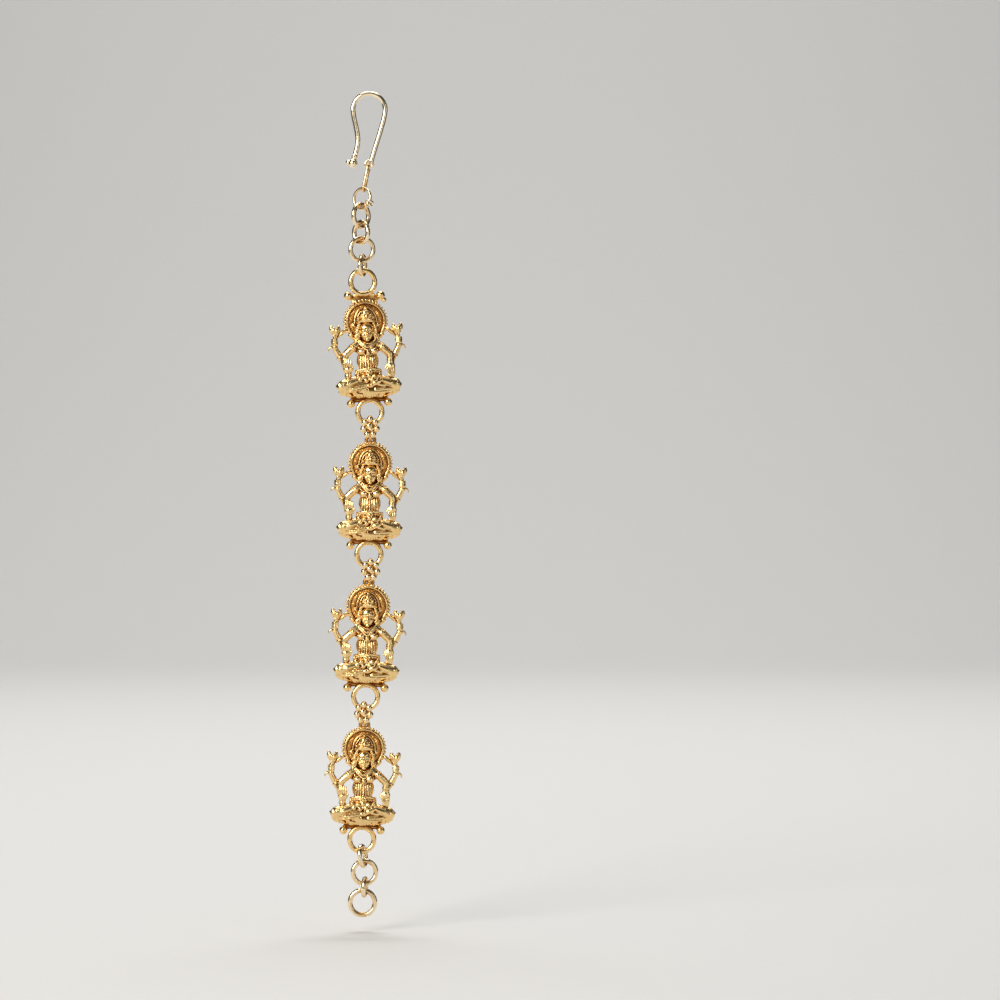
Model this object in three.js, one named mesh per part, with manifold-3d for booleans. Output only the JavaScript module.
// A temple-style ear chain. A wire hair hook carries a short run of jump rings, and below them hang four
// cast figures of a seated goddess, joined by three small flower links. Three more rings end the chain,
// and the last one takes the earring. Sizes are in millimetres, +Z is up and the figures face -Y.
// The origin is the point inside the top of the hook where the chain hangs.
import * as THREE from "three";
import { mergeVertices } from "three/addons/utils/BufferGeometryUtils.js";
import Module from "manifold-3d";

const wasm = await Module();
wasm.setup();

// ---- driving dimensions ----
const clearance = 0.08; // between two wires that hang in each other
const slit = 0.12; // the cut in a jump ring
const wireSides = 5;
const ringSteps = 12;

const hook = {
  wire: 0.35, // radius
  crook: 2.35, // radius of the round top, to the middle of the wire
  crookEnds: [-12, 196], // degrees, from the long leg over the top to the short one
  waist: { x: -1.62, z: -6.45 }, // where the short leg is nearest to the long one
  tip: { x: -2.2, z: -9.2 },
  foot: { x: 0.3, z: -9.5 }, // where the long leg meets its eye
  ball: 0.66,
  nub: 0.36,
  eye: { radius: 0.72, thick: 0.5, hole: 0.32, x: 0.0, z: -9.85 },
};
const hookLink = { wire: 0.2, halfWidth: 0.56, length: 4.05 }; // to the middle of the wire

const backFace = 0.45; // the flat back of each figure lies at this Y
const halo = { radius: 3.02, bead: 0.18, beads: 20, beadArc: 250, front: -0.25, rim: 2.6, rimWire: 0.17 };
const hanger = { radius: 1.75, wire: 0.37, y: -0.15 }; // the ring soldered under each figure
const hangerDrop = 13.2; // from the halo's centre down to the hanger's
const granule = { radius: 0.6, x: 2.72, drop: 11.9 };
const bail = { radius: 0.6, wire: 0.25, rise: 3.38 };
const foot = { from: -10.4, to: -11.9, halfWidth: 3.0 }; // the bar under the lotus seat
const crest = {
  ringX: -0.16, ringRise: 5.69, granuleX: 2.4, granuleRise: 3.7, from: 2.6, to: 4.4, halfWidth: 2.1,
};
const flower = { petals: 7, petal: 0.43, centre: 0.78, rise: 0.35, thick: 0.4, tall: 1.2 };
const flowerLink = { radius: 1.51, wire: 0.25 };

// ---- solids ----
const sideways = new THREE.Matrix4().makeRotationX(Math.PI / 2); // turns +Y of a round geometry to +Z

function solid(geometry, matrix) {
  const bare = geometry.index ? geometry.toNonIndexed() : geometry.clone();
  const points = new THREE.BufferGeometry().setAttribute("position", bare.getAttribute("position"));
  if (matrix) points.applyMatrix4(matrix);
  const merged = mergeVertices(points, 1e-4);
  const triVerts = [];
  const corners = merged.index.array;
  for (let i = 0; i < corners.length; i += 3) {
    const [a, b, c] = corners.slice(i, i + 3);
    if (a !== b && b !== c && a !== c) triVerts.push(a, b, c);
  }
  return new wasm.Manifold(
    new wasm.Mesh({
      numProp: 3,
      vertProperties: merged.attributes.position.array,
      triVerts: new Uint32Array(triVerts),
    }),
  );
}

function joined(solids) {
  return solids.reduce((whole, next) => whole.add(next));
}

function geometryOf(made) {
  const mesh = made.getMesh();
  return new THREE.BufferGeometry()
    .setAttribute("position", new THREE.BufferAttribute(new Float32Array(mesh.vertProperties), 3))
    .setIndex(new THREE.BufferAttribute(new Uint32Array(mesh.triVerts), 1));
}

function at(x, y, z, lean = 0) {
  return new THREE.Matrix4()
    .makeRotationY(THREE.MathUtils.degToRad(lean))
    .setPosition(x, y, z);
}

// A rounded lump with half sizes rx, ry and rz. lean tips it in the figure's plane.
function lump({ x, y, z, rx, ry, rz, lean = 0, sides = 6, rows = 4 }) {
  const round = new THREE.SphereGeometry(1, sides, rows);
  const size = new THREE.Matrix4().makeScale(rx, ry, rz).multiply(sideways);
  return solid(round, at(x, y, z, lean).multiply(size));
}

function wireSection(radius, sides = wireSides) {
  const section = new THREE.Shape();
  for (let i = 0; i < sides; i += 1) {
    const angle = (2 * Math.PI * (i + 0.5)) / sides;
    const corner = [radius * Math.cos(angle), radius * Math.sin(angle)];
    if (i === 0) section.moveTo(...corner);
    else section.lineTo(...corner);
  }
  section.closePath();
  return section;
}

function wireAlong(path, radius, steps, sides = wireSides) {
  return new THREE.ExtrudeGeometry(wireSection(radius, sides), { extrudePath: path, steps });
}

// An arc in the XZ plane, in degrees from +X towards +Z.
class WireArc extends THREE.Curve {
  constructor(radius, startDeg, endDeg) {
    super();
    Object.assign(this, { radius, startDeg, endDeg });
  }

  getPoint(t, target = new THREE.Vector3()) {
    const angle = THREE.MathUtils.degToRad(THREE.MathUtils.lerp(this.startDeg, this.endDeg, t));
    return target.set(this.radius * Math.cos(angle), 0, this.radius * Math.sin(angle));
  }
}

// A jump ring in the XZ plane, cut at cutDeg.
function jumpRing(radius, wire, cutDeg) {
  const half = THREE.MathUtils.radToDeg(slit / radius / 2);
  const arc = new WireArc(radius, cutDeg + half, cutDeg + 360 - half);
  return wireAlong(arc, wire, ringSteps);
}

// ---- the hook and its link ----
function hookSolid() {
  const [longLeg, shortLeg] = hook.crookEnds;
  const centreZ = -hook.crook + hook.wire;
  const crook = new WireArc(hook.crook, longLeg, shortLeg);
  const round = [0, 0.125, 0.25, 0.375, 0.5, 0.625, 0.75, 0.875, 1].map((t) => {
    const point = crook.getPoint(t);
    return point.setZ(point.z + centreZ);
  });
  const path = new THREE.CatmullRomCurve3(
    [
      new THREE.Vector3(hook.foot.x, 0, hook.foot.z),
      ...round,
      new THREE.Vector3(hook.waist.x, 0, hook.waist.z),
      new THREE.Vector3(hook.tip.x, 0, hook.tip.z),
    ],
    false,
    "centripetal",
  );
  const { eye } = hook;
  const paddle = new THREE.CylinderGeometry(eye.radius, eye.radius, eye.thick, 14);
  const hole = new THREE.CylinderGeometry(eye.hole, eye.hole, 4 * eye.thick, 10);
  const tipBall = { x: hook.tip.x - 0.15, y: 0, z: hook.tip.z - hook.ball + 0.1 };
  const r = hook.ball;
  return joined([
    solid(wireAlong(path, hook.wire, 30)),
    solid(paddle, at(eye.x, 0, eye.z)),
    lump({ ...tipBall, rx: r, ry: r, rz: r, sides: 8, rows: 6 }),
    lump({ x: tipBall.x - r, y: 0, z: tipBall.z + 0.15, rx: hook.nub, ry: hook.nub, rz: hook.nub }),
  ]).subtract(solid(hole, at(eye.x, 0, eye.z)));
}

// A long oval link in the XZ plane, cut in the middle of one side.
function ovalLink({ wire, halfWidth, length }) {
  const straight = length / 2 - halfWidth;
  const corners = [];
  for (let i = 0; i <= 8; i += 1) {
    const angle = (Math.PI * i) / 8;
    corners.push([halfWidth * Math.cos(angle), straight + halfWidth * Math.sin(angle)]);
  }
  const lower = corners.map(([x, z]) => [-x, -z]);
  const start = [halfWidth, slit / 2];
  const end = [halfWidth, -slit / 2];
  const route = [start, ...corners, ...lower, end].map(([x, z]) => new THREE.Vector3(x, 0, z));
  const curve = new THREE.CatmullRomCurve3(route, false, "centripetal");
  return wireAlong(curve, wire, route.length);
}

// ---- the seated figure ----
// Turned shapes of the figure, from the halo's centre, as half width and height from the bottom up.
// depth is how deep they are against their width.
const crown = {
  y: -0.6, depth: 0.85,
  profile: [[0, -0.4], [1.15, -0.3], [1.34, 0.15], [1.1, 0.5], [0.72, 0.6], [0.6, 1.3], [0.25, 1.9], [0, 2.2]],
};
const torso = {
  y: -0.55, depth: 0.5,
  profile: [
    [0, -9.5], [1.8, -9.2], [1.95, -7.6], [1.55, -6.8], [1.5, -5.6], [1.8, -4.5], [1.55, -3.7], [0.7, -3.2],
    [0.6, -2.3], [0, -2.2],
  ],
};

// Lumps of the figure, from the halo's centre. A row with pair is made on both sides.
const figureLumps = [
  { part: "face", x: 0, y: -0.85, z: -1.6, rx: 0.86, ry: 0.8, rz: 1.4, sides: 8, rows: 5 },
  { part: "ear drop", pair: true, x: 1.62, y: -0.4, z: -2.45, rx: 0.36, ry: 0.36, rz: 0.36, rows: 3 },
  { part: "breast", pair: true, x: 0.84, y: -0.95, z: -4.6, rx: 0.6, ry: 0.62, rz: 0.55 },
  { part: "knee", pair: true, x: 2.75, y: -0.75, z: -8.95, rx: 1.75, ry: 0.9, rz: 0.85, lean: 12, rows: 3 },
  { part: "crossed feet", x: 0, y: -1.3, z: -9.15, rx: 1.7, ry: 0.5, rz: 0.45, rows: 3 },
  { part: "raised hand", pair: true, x: 4.65, y: -0.3, z: -2.75, rx: 0.58, ry: 0.5, rz: 0.7, rows: 3 },
  { part: "left hand", x: -3.0, y: -0.75, z: -7.1, rx: 0.68, ry: 0.5, rz: 1.4, lean: -4, rows: 3 },
  { part: "right hand", x: 3.22, y: -0.75, z: -7.1, rx: 0.68, ry: 0.5, rz: 1.4, lean: 4, rows: 3 },
];

// Limbs and thin parts of the figure, each along its points, made on both sides.
const figureLimbs = [
  { part: "front arm", radius: 0.5, along: [[1.0, -0.5, -3.7], [3.4, -0.55, -5.1], [3.05, -0.7, -6.7]], steps: 4 },
  { part: "rear arm", radius: 0.42, along: [[2.4, -0.05, -4.8], [3.7, -0.05, -5.6], [4.75, -0.2, -3.0]], steps: 4 },
  { part: "lotus leaf", radius: 0.27, along: [[4.3, 0, -2.6], [2.8, 0.1, -0.95]], steps: 1, sides: 4 },
  { part: "sash end", radius: 0.22, along: [[4.4, 0, -3.3], [5.6, 0, -4.05]], steps: 1, sides: 4 },
];

// The open lotus in each raised hand, as the outline of its three petals, from its middle.
const bloom = {
  x: 4.5, z: -1.4, front: -0.75, back: 0.1,
  outline: [
    [-0.25, -0.9], [0.25, -0.9], [0.7, -0.1], [0.68, 0.85], [0.3, 0.3], [0, 0.6], [-0.3, 0.3], [-0.68, 0.85],
    [-0.7, -0.1],
  ],
};

// The lotus seat: a boat-shaped slab with a row of petals on its front.
const seat = {
  front: -0.85, back: 0.35,
  outline: [
    [-4.65, -9.4], [-3.9, -8.5], [3.9, -8.5], [4.65, -9.4], [3.95, -10.7], [2.3, -11.15], [-2.3, -11.15],
    [-3.95, -10.7],
  ],
};
const seatPetals = { count: 5, reach: 3.3, z: -10.2, droop: 0.5, y: -0.8, rx: 0.78, ry: 0.62, rz: 0.72, rows: 3 };

function sides(row, make) {
  return [make({ ...row }), make({ ...row, x: -row.x, lean: -(row.lean ?? 0) })];
}

// The halo's outline: beads round the top and sides, and a plain arc behind the shoulders.
function haloOutline() {
  const beadStep = halo.beadArc / halo.beads;
  const start = 90 - halo.beadArc / 2;
  const corners = [];
  for (let i = 0; i < halo.beads; i += 1) {
    const from = start + i * beadStep;
    corners.push([from, halo.radius], [from + beadStep * 0.3, halo.radius + halo.bead]);
    corners.push([from + beadStep * 0.7, halo.radius + halo.bead]);
  }
  const plainStep = (360 - halo.beadArc) / 5;
  for (let i = 0; i < 5; i += 1) {
    corners.push([start + halo.beadArc + i * plainStep, halo.radius]);
  }
  return new THREE.Shape(
    corners.map(([degrees, reach]) => {
      const angle = THREE.MathUtils.degToRad(degrees);
      return new THREE.Vector2(reach * Math.cos(angle), reach * Math.sin(angle));
    }),
  );
}

function limb({ along, radius, steps, sides: count = wireSides }, side) {
  const points = along.map(([x, y, z]) => new THREE.Vector3(side * x, y, z));
  return solid(wireAlong(new THREE.CatmullRomCurve3(points, false, "centripetal"), radius, steps, count));
}

// An outline in the XZ plane made solid between two depths.
function slab(outline, front, back, x = 0, z = 0) {
  const plate = new THREE.ExtrudeGeometry(outline, { depth: back - front, bevelEnabled: false, steps: 1 });
  return solid(plate, new THREE.Matrix4().setPosition(x, back, z).multiply(sideways));
}

function outlineOf(corners) {
  return new THREE.Shape(corners.map(([x, z]) => new THREE.Vector2(x, z)));
}

// A turned shape about a vertical axis, flattened front to back.
function turned({ y, depth, profile, sides: count = 8 }) {
  const lathe = new THREE.LatheGeometry(profile.map(([r, z]) => new THREE.Vector2(r, z)), count);
  const size = new THREE.Matrix4().makeScale(1, depth, 1).multiply(sideways);
  return solid(lathe, at(0, y, 0).multiply(size));
}

function haloSolid() {
  const rim = new THREE.TorusGeometry(halo.rim, halo.rimWire, 4, 16);
  return [
    slab(haloOutline(), halo.front, backFace),
    solid(rim, new THREE.Matrix4().setPosition(0, halo.front, 0).multiply(sideways)),
  ];
}

function seatSolids() {
  const { count, reach, z, droop, ...petal } = seatPetals;
  const petals = Array.from({ length: count }, (_, i) => {
    const share = (2 * i) / (count - 1) - 1; // -1 at the left end, 1 at the right
    return lump({ ...petal, x: reach * share, z: z + droop * (share * share - 0.5), lean: -28 * share });
  });
  return [slab(outlineOf(seat.outline), seat.front, seat.back), ...petals];
}

// The bar that a soldered ring stands on, with a granule at each end.
function yoke({ from, to, halfWidth, ringX, ringAt, granuleX, granuleAt, cutDeg }) {
  const bar = outlineOf([[-halfWidth, from], [halfWidth, from], [halfWidth * 0.85, to], [-halfWidth * 0.85, to]]);
  const r = granule.radius;
  return [
    slab(bar, -0.1, backFace),
    solid(jumpRing(hanger.radius, hanger.wire, cutDeg), at(ringX, hanger.y, ringAt)),
    lump({ x: -granuleX, y: -0.2, z: granuleAt, rx: r, ry: r, rz: r }),
    lump({ x: granuleX, y: -0.2, z: granuleAt, rx: r, ry: r, rz: r }),
  ];
}

function motifSolid(hasCrest) {
  const pieces = [
    ...haloSolid(),
    turned(torso),
    turned(crown),
    ...seatSolids(),
    ...figureLumps.flatMap((row) => (row.pair ? sides(row, lump) : [lump(row)])),
    ...figureLimbs.flatMap((row) => [1, -1].map((side) => limb(row, side))),
    ...[1, -1].map((side) => slab(outlineOf(bloom.outline), bloom.front, bloom.back, side * bloom.x, bloom.z)),
    solid(wireAlong(new WireArc(1.22, 200, 340), 0.2, 5, 4), at(0, -1.2, -2.5)),
    ...yoke({
      ...foot, ringX: 0, ringAt: -hangerDrop, granuleX: granule.x, granuleAt: -granule.drop, cutDeg: 90,
    }),
  ];
  if (hasCrest) {
    pieces.push(...yoke({ ...crest, ringAt: crest.ringRise, granuleAt: crest.granuleRise, cutDeg: 270 }));
  } else {
    const loop = new THREE.TorusGeometry(bail.radius, bail.wire, wireSides, 12);
    pieces.push(solid(loop, at(0, 0, bail.rise).multiply(sideways)));
  }
  return joined(pieces);
}

// ---- the flower link: a ring seen edge on, with a granule flower soldered to its front ----
function flowerLinkSolid() {
  const { radius, wire } = flowerLink;
  const ring = solid(
    jumpRing(radius, wire, 0),
    new THREE.Matrix4().makeRotationZ(Math.PI / 2), // the cut comes to the back
  );
  const front = -Math.sqrt(radius * radius - flower.rise * flower.rise) - flower.thick / 4;
  const reach = flower.petal / Math.sin(Math.PI / flower.petals);
  const petals = Array.from({ length: flower.petals }, (_, i) => {
    const angle = (2 * Math.PI * i) / flower.petals + Math.PI / 2;
    const r = flower.petal;
    return lump({
      x: reach * Math.cos(angle), y: front, z: flower.rise + reach * flower.tall * Math.sin(angle),
      rx: r, ry: r, rz: r * 1.1, rows: 3,
    });
  });
  const c = flower.centre;
  return joined([
    ring,
    lump({ x: 0, y: front, z: flower.rise, rx: c, ry: flower.thick, rz: c * flower.tall, sides: 8 }),
    ...petals,
  ]);
}

// ---- materials ----
const gold = new THREE.MeshStandardMaterial({ color: 0xd9a856, roughness: 0.32, metalness: 1 });
const paleGold = new THREE.MeshStandardMaterial({ color: 0xe6c27a, roughness: 0.26, metalness: 1 });

// ---- the chain, from the top down ----
const shapes = {
  ovalLink: () => ({
    geometry: ovalLink(hookLink),
    up: hookLink.length / 2, down: hookLink.length / 2, topWire: hookLink.wire, endWire: hookLink.wire,
  }),
  ring: ({ radius, wire, cut }) => ({
    geometry: jumpRing(radius, wire, cut), up: radius, down: radius, topWire: wire, endWire: wire,
  }),
  crestMotif: () => ({
    geometry: geometryOf(motifSolid(true)),
    up: crest.ringRise + hanger.radius, aside: crest.ringX, down: hangerDrop + hanger.radius,
    topWire: hanger.wire, endWire: hanger.wire,
  }),
  motif: () => ({
    geometry: geometryOf(motifSolid(false)),
    up: bail.rise + bail.radius, down: hangerDrop + hanger.radius,
    topWire: bail.wire, endWire: hanger.wire,
  }),
  flowerLink: () => ({
    geometry: geometryOf(flowerLinkSolid()),
    up: flowerLink.radius, down: flowerLink.radius, topWire: flowerLink.wire, endWire: flowerLink.wire,
  }),
};

// turn is about the vertical, and a positive lean carries the piece's lower end to the right, in degrees.
const hanging = [
  { name: "hook_link", shape: "ovalLink", turn: 80, lean: -12 },
  { name: "swivel_ring", shape: "ring", radius: 1.5, wire: 0.2, cut: -35, turn: -36, lean: -6 },
  { name: "upper_ring_1", shape: "ring", radius: 1.65, wire: 0.34, cut: 100, turn: 52, lean: 0 },
  { name: "upper_ring_2", shape: "ring", radius: 1.53, wire: 0.34, cut: 20, turn: -48, lean: 0 },
  { name: "upper_ring_3", shape: "ring", radius: 1.68, wire: 0.32, cut: -50, turn: 14, lean: 4 },
  { name: "upper_ring_4", shape: "ring", radius: 1.42, wire: 0.34, cut: 180, turn: 78, lean: -2 },
  { name: "motif_1", shape: "crestMotif", turn: 8, lean: 2.7 },
  { name: "flower_link_1", shape: "flowerLink", turn: 0, lean: 0.5 },
  { name: "motif_2", shape: "motif", turn: 3, lean: -0.8 },
  { name: "flower_link_2", shape: "flowerLink", turn: 12, lean: 0 },
  { name: "motif_3", shape: "motif", turn: 2, lean: -1.5 },
  { name: "flower_link_3", shape: "flowerLink", turn: -5, lean: -2 },
  { name: "motif_4", shape: "motif", turn: 5, lean: -1.4 },
  { name: "lower_ring_1", shape: "ring", radius: 1.46, wire: 0.34, cut: 180, turn: 76, lean: 7 },
  { name: "lower_ring_2", shape: "ring", radius: 1.68, wire: 0.35, cut: 130, turn: 12, lean: 3 },
  { name: "lower_ring_3", shape: "ring", radius: 1.25, wire: 0.34, cut: 180, turn: 84, lean: -3 },
  { name: "end_ring", shape: "ring", radius: 1.8, wire: 0.36, cut: -60, turn: 0, lean: -8 },
];

const earChain = new THREE.Group();
earChain.name = "ear_chain";

function addPiece(name, geometry, material) {
  const mesh = new THREE.Mesh(geometry, material);
  mesh.name = name;
  earChain.add(mesh);
  return mesh;
}

addPiece("ear_hook", geometryOf(hookSolid()), paleGold);

// Each piece hangs with its top wire resting just over the bottom wire of the one above it.
const { eye } = hook;
let support = new THREE.Vector3(eye.x, 0, eye.z - eye.hole);
let supportWire = 0;
for (const { name, shape, turn, lean, ...sizes } of hanging) {
  const piece = shapes[shape](sizes);
  const tip = THREE.MathUtils.degToRad(-lean);
  const down = new THREE.Vector3(-Math.sin(tip), 0, -Math.cos(tip));
  const top = support.clone();
  top.z += supportWire + clearance + piece.topWire;
  const across = new THREE.Vector3(Math.cos(tip), 0, -Math.sin(tip));
  const centre = top.clone().addScaledVector(down, piece.up).addScaledVector(across, -(piece.aside ?? 0));
  const mesh = addPiece(name, piece.geometry, shape.toLowerCase().includes("motif") ? gold : paleGold);
  mesh.rotation.set(0, tip, THREE.MathUtils.degToRad(turn), "YZX");
  mesh.position.copy(centre);
  support = centre.clone().addScaledVector(down, piece.down);
  supportWire = piece.endWire;
}

export default earChain;
